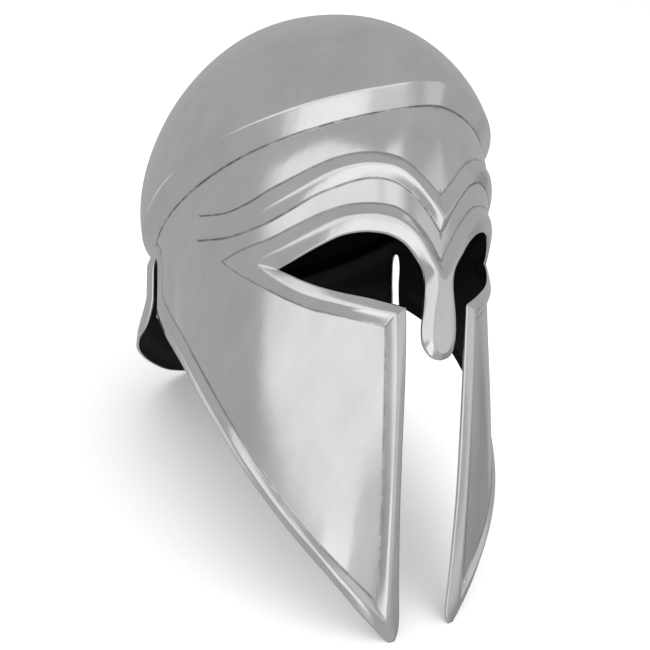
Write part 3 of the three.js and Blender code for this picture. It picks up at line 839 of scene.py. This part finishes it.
turn_c, turn_s = math.cos(CAMERA_TURN), math.sin(CAMERA_TURN)
rise_c, rise_s = math.cos(CAMERA_RISE), math.sin(CAMERA_RISE)
back_v = np.array([turn_s * rise_c, -turn_c * rise_c, rise_s])
right_v = np.array([turn_c, turn_s, 0])
up_v = np.cross(back_v, right_v)
eye = back_v * CAMERA_AWAY + right_v * CAMERA_SIDE + up_v * CAMERA_UP
pose = np.identity(4)
pose[:3, :3] = np.column_stack([leaned(v, lean)[0] for v in (right_v, up_v, back_v)])
pose[:3, 3] = (leaned(eye, lean)[0] + shift) / 1000
camera_data = bpy.data.cameras.new("camera")
camera_data.sensor_width = SENSOR
camera_data.lens = LENS
camera = bpy.data.objects.new("camera", camera_data)
camera.matrix_world = Matrix(pose.tolist())
bpy.context.scene.collection.objects.link(camera)
bpy.context.scene.camera = camera

# ---- floor -------------------------------------------------------------------------
FLOOR_HALF = 5.2
floor_mesh = bpy.data.meshes.new("floor")
floor_corners = [(x * FLOOR_HALF, y * FLOOR_HALF, 0) for x, y in ((-1, -1), (1, -1), (1, 1), (-1, 1))]
floor_mesh.from_pydata(floor_corners, [], [(0, 1, 2, 3)])
floor = bpy.data.objects.new("floor", floor_mesh)
floor.location.z = -0.0002
bpy.context.scene.collection.objects.link(floor)
floor.visible_glossy = False
floor_material, _, floor_shader = new_material("floor")
floor_shader.inputs["Base Color"].default_value = grey(0.66)
floor_shader.inputs["Emission Color"].default_value = grey(1)
floor_shader.inputs["Emission Strength"].default_value = 0.3
floor_shader.inputs["Roughness"].default_value = 0.9
floor_shader.inputs["Specular IOR Level"].default_value = 0.0
floor_mesh.materials.append(floor_material)

# ---- light: soft panels round the helmet, which the steel mirrors, and one overhead --
# turns from the front, heights, height of the side edges' axis, softness of the edge, brightness
PANELS = [
    ((-89, -5), (1, 53), -17, 0.07, 0.46),
    ((-14, 8), (7, 53), -10, 0.09, 0.46),
    ((-10, 11), (-8, 8), 0, 0.07, 0.23),
    ((-31, -7), (-27, 5), -12, 0.05, 0.62),
    ((-150, -115), (-47, -29), -38, 0.06, 0.3),
    ((20, 54), (-8, 34), 13, 0.09, 0.2),
]
SHADE = ((40, 100), (-44, -10), -27, 0.09)
SHADE_DEPTH = 0.12
PLAIN_GLOW = 0.434     # brightness between the panels
BACKDROP = 1.0         # what the camera sees behind the floor
OVERHEAD_AT = (0.5, 0.8, 5.0)
OVERHEAD_SIZE = 11.0
OVERHEAD_WATTS = 600


def direction(turn, up):
    """Unit vector at a turn from the front towards the helmet's left, and a height, in degrees."""
    t, u = math.radians(turn), math.radians(up)
    return Vector((math.sin(t) * math.cos(u), -math.cos(t) * math.cos(u), math.sin(u)))


def dot(tree, where, axis):
    node = tree.nodes.new("ShaderNodeVectorMath")
    node.operation = "DOT_PRODUCT"
    tree.links.new(where, node.inputs[0])
    node.inputs[1].default_value = axis
    return node.outputs["Value"]


def panel(tree, where, turns, heights, axis_height, edge):
    """Mask of a soft-edged panel seen between two turns and two heights, in degrees."""
    middle = direction(sum(turns) / 2, sum(heights) / 2)
    side = middle.cross(Vector((0, 0, 1))).normalized()
    top = side.cross(middle)
    depth = dot(tree, where, middle)
    side_depth = dot(tree, where, direction(sum(turns) / 2, axis_height))
    mask = span(tree, depth, 0.02, 0.1, 0, 1)
    for axis, pair, deep in ((side, turns, side_depth), (top, heights, depth)):
        in_front = math_node(tree, "MAXIMUM", deep, 0.02)
        offset = math_node(tree, "DIVIDE", dot(tree, where, axis), in_front)
        offset = math_node(tree, "ABSOLUTE", offset, 0)
        limit = math.tan(math.radians((pair[1] - pair[0]) / 2))
        near = span(tree, offset, limit - edge, limit + edge, 1, 0, "SMOOTHSTEP")
        mask = math_node(tree, "MULTIPLY", mask, near)
    return mask


world = bpy.data.worlds.new("studio")
bpy.context.scene.world = world
world.use_nodes = True
sky = world.node_tree
sky_where = sky.nodes.new("ShaderNodeTexCoord").outputs["Generated"]
panels = 0.0
for *place_and_edge, brightness in PANELS:
    lit = math_node(sky, "MULTIPLY", panel(sky, sky_where, *place_and_edge), brightness)
    panels = math_node(sky, "MAXIMUM", lit, panels)
shade = math_node(sky, "MULTIPLY", panel(sky, sky_where, *SHADE), SHADE_DEPTH)
glow = math_node(sky, "SUBTRACT", math_node(sky, "ADD", panels, PLAIN_GLOW), shade)
seen = sky.nodes.new("ShaderNodeLightPath").outputs["Is Camera Ray"]
plain = math_node(sky, "MULTIPLY", math_node(sky, "SUBTRACT", BACKDROP, glow), seen)
sky.links.new(math_node(sky, "ADD", glow, plain), sky.nodes["Background"].inputs["Strength"])
sky.nodes["Background"].inputs["Color"].default_value = grey(1)

overhead_data = bpy.data.lights.new("overhead", "AREA")
overhead_data.size = OVERHEAD_SIZE
overhead_data.energy = OVERHEAD_WATTS
overhead = bpy.data.objects.new("overhead", overhead_data)
overhead.location = OVERHEAD_AT
overhead.visible_glossy = False
bpy.context.scene.collection.objects.link(overhead)

bpy.context.scene.view_settings.view_transform = "Standard"
